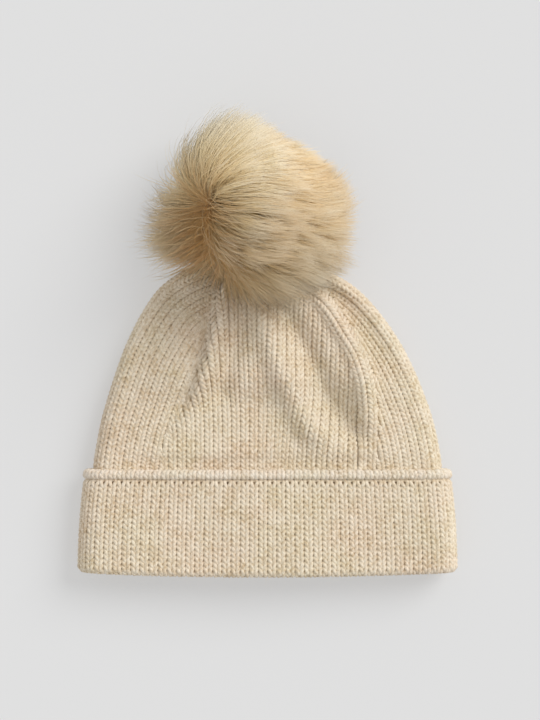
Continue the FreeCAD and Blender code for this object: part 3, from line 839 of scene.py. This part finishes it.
def make_fur(materials):
    """The strands as thin three-sided tapered tubes, shared out over several pieces.

    Their normals lean towards the ball's own outward direction, which softens every pose alike.
    """
    paths, roots, tone_and_painted_light, spread, fur = fur_strands()
    paths = keep_clear(paths)
    count = len(paths)
    tangent = unit(np.gradient(paths, axis=1))
    side = unit(np.cross(tangent, roots[:, None, :] + 0.01))
    lift = np.cross(side, tangent)
    t = np.linspace(0, 1, STRAND_RINGS)
    width = STRAND_RADIUS * (1 - t**2.0) + STRAND_TIP
    width = width[None, :] * fur.uniform(0.75, 1.35, count)[:, None]
    angle = np.linspace(0, 2 * math.pi, 3, endpoint=False)
    rings = (
        paths[:, :, None, :]
        + side[:, :, None, :] * (np.cos(angle)[None, None, :] * width[..., None])[..., None]
        + lift[:, :, None, :] * (np.sin(angle)[None, None, :] * width[..., None])[..., None]
    )
    one = tube_faces(STRAND_RINGS, 3, False)
    order = fur.permutation(count)
    pieces = []
    per = STRAND_RINGS * 3
    for index, chosen in enumerate(np.array_split(order, FUR_PIECES)):
        points = rings[chosen].reshape(-1, 3)
        faces = (one[None, :, :] + (np.arange(len(chosen)) * per)[:, None, None]).reshape(-1, 4)
        piece = mesh_piece(f"fur_{index}", points, faces, materials)
        round_ball = unit(points - BALL_CENTRE)
        across = unit(points - np.repeat(paths[chosen].reshape(-1, 3), 3, axis=0))
        soft = unit(round_ball * FUR_SOFTNESS + across * (1 - FUR_SOFTNESS))
        piece.data.normals_split_custom_set_from_vertices(soft)
        # Per point: place along the strand, its random colour with painted light on the left side, and
        # painted shade beside the parting.
        shade = np.repeat(tone_and_painted_light[chosen], per)
        near = np.repeat(1 - smoothstep(0.0, 0.24, spread[chosen]), per)
        along = np.tile(np.repeat(t, 3), len(chosen))
        colours = np.stack([along, np.clip(0.55 + 0.25 * shade, 0, 1), near, 1 + 0 * along], axis=-1)
        layer = piece.data.color_attributes.new("strand_colour_and_painted_light", "FLOAT_COLOR", "POINT")
        layer.data.foreach_set("color", colours.astype(np.float32).ravel())
        pieces.append(piece)
    return pieces


def fur_material():
    """Long fake fur: tan at the roots and cream at the tips, with painted shade that browns it beside the
    parting and painted light that pales the ball's left side.
    """
    material, tree, shader = new_material("fur", 0.62, sheen=0.15, specular=0.25)
    strand_colour_and_painted_light = add_node(tree, "ShaderNodeVertexColor", layer_name="strand_colour_and_painted_light")
    split = add_node(tree, "ShaderNodeSeparateColor")
    tree.links.new(strand_colour_and_painted_light.outputs["Color"], split.inputs["Color"])
    ramp = add_node(tree, "ShaderNodeValToRGB")
    stops = ramp.color_ramp.elements
    stops[0].position = 0.0
    stops[0].color = linear(236, 210, 168)
    stops[1].position = 1.0
    stops[1].color = linear(253, 244, 226)
    for place, colour in ((0.2, (242, 218, 170)), (0.6, (247, 228, 186)), (0.82, (252, 241, 216))):
        stop = stops.new(place)
        stop.color = linear(*colour)
    tree.links.new(split.outputs["Red"], ramp.inputs["Fac"])
    # Green channel: random colour with painted light on the ball's left side.
    tones = mix_colours(tree, split.outputs["Green"], linear(236, 206, 162), linear(255, 253, 248))
    toned = mix_colours(tree, 1.0, ramp.outputs["Color"], tones, blend="MULTIPLY")
    # Blue channel: painted shade that browns strands beside the parting.
    parting = mix_colours(tree, split.outputs["Blue"], linear(255, 255, 255), linear(226, 192, 146))
    shade = mix_colours(tree, 1.0, toned, parting, blend="MULTIPLY")
    tree.links.new(shade, shader.inputs["Base Color"])
    return material


# ---------------------------------------------------------------- inside


def plain_material(name, first, second, scale, roughness, metallic=0.0, bumpiness=0.2, depth=0.0001):
    """A material with a fine procedural grain of two tones."""
    material, tree, shader = new_material(name, roughness, metallic=metallic, specular=0.4)
    grain = scaled_noise(tree, scale)
    shade = mix_colours(tree, grain, linear(*first), linear(*second))
    tree.links.new(shade, shader.inputs["Base Color"])
    bump = add_node(tree, "ShaderNodeBump", Strength=bumpiness, Distance=depth)
    tree.links.new(grain, bump.inputs["Height"])
    tree.links.new(bump.outputs["Normal"], shader.inputs["Normal"])
    return material


def dress_inner_pieces():
    """Materials for the pieces that the fur and the knit cover at rest."""
    metal = plain_material("snap_metal", (176, 172, 164), (204, 200, 192), 900.0, 0.32, metallic=1.0)
    steel = plain_material("spring_wire", (186, 186, 188), (214, 214, 216), 1500.0, 0.25, metallic=1.0)
    plastic = plain_material("base_plastic", (222, 214, 198), (238, 232, 218), 500.0, 0.45)
    felt = plain_material("felt", (196, 178, 148), (222, 206, 178), 1400.0, 0.95, bumpiness=0.8, depth=0.0003)
    thread = plain_material("thread", (226, 212, 186), (246, 236, 216), 2400.0, 0.8, bumpiness=0.8)
    skin = plain_material("fur_skin", (128, 96, 60), (178, 142, 98), 700.0, 0.95, bumpiness=0.7, depth=0.0004)
    stuffing = plain_material("stuffing", (232, 230, 224), (250, 249, 246), 240.0, 0.95, bumpiness=0.9,
                              depth=0.001)
    dress = {
        metal: ("stud_post", "snap_stud", "snap_socket", "socket_cap"),
        steel: ("snap_spring",),
        plastic: ("pom_base_disc",),
        felt: ("felt_backing",),
        thread: ("draw_thread", "pom_closing_thread", "label_stitches"),
        skin: ("pom_backing",),
        stuffing: ("pom_fill",),
    }
    for material, names in dress.items():
        for name in names:
            mesh = bpy.data.objects[name].data
            mesh.materials.clear()
            mesh.materials.append(material)


LABEL_Z = 8.2 * MM
SEAM_Z = 7.6 * MM
SEAM_ASIDE = 2.5 * MM


def make_label():
    """The blank woven label, lying a little wavy on the inside of the back."""
    low, high = (np.array(corner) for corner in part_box("care_label"))
    columns, rows = 21, 39
    u, v = np.meshgrid(np.linspace(0, 1, columns), np.linspace(0, 1, rows))
    x = low[0] + (high[0] - low[0]) * u
    y = low[1] + (high[1] - low[1]) * v
    wave = 0.5 * MM * np.sin(3.1 * v + 0.6) * u + 1.4 * MM * u**2.2
    top = LABEL_Z + wave
    sheet = np.stack([x, y, top], axis=-1).reshape(-1, 3)
    under = sheet - np.array([0, 0, high[2] - low[2]])
    quads = grid_faces(rows, columns)
    total = rows * columns
    rim = np.concatenate([
        np.arange(columns), np.arange(1, rows) * columns + columns - 1,
        (rows - 1) * columns + np.arange(columns - 2, -1, -1), np.arange(rows - 2, 0, -1) * columns,
    ])
    after = np.roll(rim, -1)
    walls = np.stack([rim, rim + total, after + total, after], axis=-1)
    faces = np.concatenate([quads, quads[:, ::-1] + total, walls])
    tape = label_material()
    label = mesh_piece("label", np.concatenate([sheet, under]), faces, tape)
    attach(label, "care_label")
    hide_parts("care_label")


def label_material():
    """White satin tape: fine ribs of its weave, with a faint sheen."""
    material, tree, shader = new_material("label_tape", 0.5, sheen=0.3)
    where = add_node(tree, "ShaderNodeTexCoord")
    weave = add_node(tree, "ShaderNodeTexWave", Scale=900.0, Distortion=0.4)
    tree.links.new(where.outputs["Object"], weave.inputs["Vector"])
    shade = mix_colours(tree, weave.outputs["Fac"], linear(232, 230, 224), linear(250, 249, 246))
    tree.links.new(shade, shader.inputs["Base Color"])
    bump = add_node(tree, "ShaderNodeBump", Strength=0.4, Distance=0.0001)
    tree.links.new(weave.outputs["Fac"], bump.inputs["Height"])
    tree.links.new(bump.outputs["Normal"], shader.inputs["Normal"])
    return material


def make_seam_cord(material):
    """The joining seam's allowance, down the inside of the back and just clear of the lifting label."""
    start = HEM_Y + 4 * MM
    end = HEM_Y + 56 * MM
    turns = 16
    stations = turns * 12
    t = np.linspace(0, 1, stations)
    y = start + (end - start) * t
    x = 0.9 * MM * np.sin(t * turns * 2 * math.pi) - SEAM_ASIDE
    z = SEAM_Z + 0.35 * MM * np.cos(t * turns * 4 * math.pi)
    path = np.stack([x, y, z], axis=-1)
    tangent = unit(np.gradient(path, axis=0))
    side = unit(np.cross(tangent, np.array([0, 0, 1.0])))
    lift = np.cross(side, tangent)
    angle = np.linspace(0, 2 * math.pi, 8, endpoint=False)
    taper = np.clip(np.minimum(np.arange(stations), np.arange(stations)[::-1]) / 3.0, 0.05, 1) * 0.8 * MM
    rings = (
        path[:, None, :]
        + side[:, None, :] * (np.cos(angle)[None, :] * taper[:, None])[..., None]
        + lift[:, None, :] * (np.sin(angle)[None, :] * taper[:, None])[..., None]
    )
    seam = mesh_piece("seam_cord", rings.reshape(-1, 3), tube_faces(stations, 8, False), material)
    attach(seam, "root")


# ---------------------------------------------------------------- stage


def make_stage():
    """A pale floor, wide enough for views from above; a very low view sees past its far edge."""
    mesh = bpy.data.meshes.new("floor")
    box = bmesh.new()
    bmesh.ops.create_grid(box, x_segments=1, y_segments=1, size=3.0)
    box.to_mesh(mesh)
    box.free()
    floor = bpy.data.objects.new("floor", mesh)
    bpy.context.scene.collection.objects.link(floor)
    material, tree, shader = new_material("floor_paper", 0.9, specular=0.1)
    shader.inputs["Base Color"].default_value = linear(165, 165, 165)
    shader.inputs["Emission Color"].default_value = (1, 1, 1, 1)
    shader.inputs["Emission Strength"].default_value = 0.385
    mesh.materials.append(material)
    floor.location.z = -0.0004


def add_sun(name, toward, power, softness):
    """A broad soft light from a far-off place."""
    data = bpy.data.lights.new(name, "SUN")
    data.energy = power
    data.angle = softness
    light = bpy.data.objects.new(name, data)
    light.rotation_euler = Vector(toward).to_track_quat("Z", "Y").to_euler()
    bpy.context.scene.collection.objects.link(light)


def make_camera():
    """Straight above the hat, as far off as a studio camera with a long lens."""
    data = bpy.data.cameras.new("camera")
    data.lens = 120
    data.clip_end = 20
    camera = bpy.data.objects.new("camera", data)
    camera.location = (1.5 * MM, -5.6 * MM, 1.484)
    bpy.context.scene.collection.objects.link(camera)
    bpy.context.scene.camera = camera


make_camera()
make_stage()
add_sun("key", (0.80, 0.62, 0.80), 1.9, 0.65)
world = bpy.data.worlds.new("studio")
world.use_nodes = True
world.node_tree.nodes["Background"].inputs["Color"].default_value = (1, 1, 1, 1)
world.node_tree.nodes["Background"].inputs["Strength"].default_value = 0.58
bpy.context.scene.world = world
bpy.context.scene.view_settings.view_transform = "Standard"

pinkish = linear(255, 238, 224)
greenish = linear(247, 244, 220)
knit = yarn_material("knit_yarn", linear(250, 238, 218), linear(216, 195, 163), pinkish, greenish)
welt = yarn_material("welt_yarn", linear(253, 243, 228), linear(226, 210, 186), pinkish, greenish)
# The sheet behind the loops is darker than the yarn: painted shade that shows through the gaps between
# stitches.
shadow_knit, shadow_tree, shadow_shader = new_material("knit_behind_painted_shade", 1.0, specular=0.0)
shadow_noise = scaled_noise(shadow_tree, 300.0)
shadow_shade = mix_colours(shadow_tree, shadow_noise, linear(168, 140, 104), linear(190, 164, 126))
shadow_tree.links.new(shadow_shade, shadow_shader.inputs["Base Color"])

root_seeds = []
for name, cloth, rows, material, depth in (
    ("cuff_lower", cuff_cloth, np.arange(-1.0, 8.5), knit, 0.9 * MM),
    ("cuff_upper", cuff_cloth, np.arange(9.0, 17.5), knit, 0.9 * MM),
    ("cuff_roll", roll_cloth, np.array([-1.2, -0.4, 0.4, 1.2]), welt, 0.3 * MM),
    ("lining_lower", cuff_cloth, np.arange(-10.0, -1.5), knit, 0.9 * MM),
    ("lining_upper", cuff_cloth, np.arange(-18.0, -10.5), knit, 0.9 * MM),
):
    pieces, seeds = make_ring(name, cloth, rows, material, depth)
    for piece in pieces:
        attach(piece, "root")
    if name == "cuff_lower":
        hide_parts("turn_up_cuff", "cuff_seam")
    if name == "cuff_roll":
        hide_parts("cuff_edge_roll")
    if not name.startswith("lining"):
        root_seeds.append(seeds)
cuff_fuzz = make_fuzz("cuff_fuzz", np.concatenate(root_seeds), knit, 51)
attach(cuff_fuzz, "root")

gore_rows = np.arange(-2.0, 41.5)
side_rows = np.arange(-2.0, OUTLINE_LENGTH[-1] / CROWN_ROW - 0.5)
back_spans = []
for row in gore_rows:
    reach = back_line(rise(CUFF_TOP_Y + row * CROWN_ROW))
    middle = lean(CUFF_TOP_Y + row * CROWN_ROW)
    back_spans.append(((-reach - middle) / WALE, (reach - middle) / WALE))
left_cloth = side_cloth(-1)
right_cloth = side_cloth(1)


def mirrored(cloth):
    """The same gore with its wales counted the other way, so that its outside stays outside."""
    return lambda wale, row: cloth(-wale, row)


left_spans = course_ranges(side_rows, left_cloth, -1)
right_spans = course_ranges(side_rows, right_cloth, 1)
blended = []
crown_seeds = []
for name, cloth, spans, rows, seed in (
    ("crown_front", gore_cloth(1), front_ranges(gore_rows, RIDGE_WALES), gore_rows, 1),
    ("crown_ridge", ridge_cloth(), [(0.0, RIDGE_WALES)] * 51, side_rows[:51], 2),
    ("crown_back", gore_cloth(-1), back_spans, gore_rows, 3),
    ("crown_left", left_cloth, left_spans, side_rows, 4),
    ("crown_right", mirrored(right_cloth), [(-b, -a) for a, b in right_spans], side_rows, 5),
):
    pieces, seeds = knit_panel(name, cloth, spans, rows, knit, seed)
    blended += pieces
    crown_seeds.append(seeds)
    if name == "crown_front":
        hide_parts("knit_body", "crown_gather")
    if name == "crown_back":
        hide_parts("back_seam")
blended.append(make_fuzz("crown_fuzz", np.concatenate(crown_seeds), knit, 52))
for piece in blended:
    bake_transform(piece)

dress_inner_pieces()
make_label()
make_seam_cord(knit)

fur = fur_material()
for index, piece in enumerate(make_fur(fur)):
    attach(piece, "pom")
    if index == 0:
        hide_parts("pom_pile")
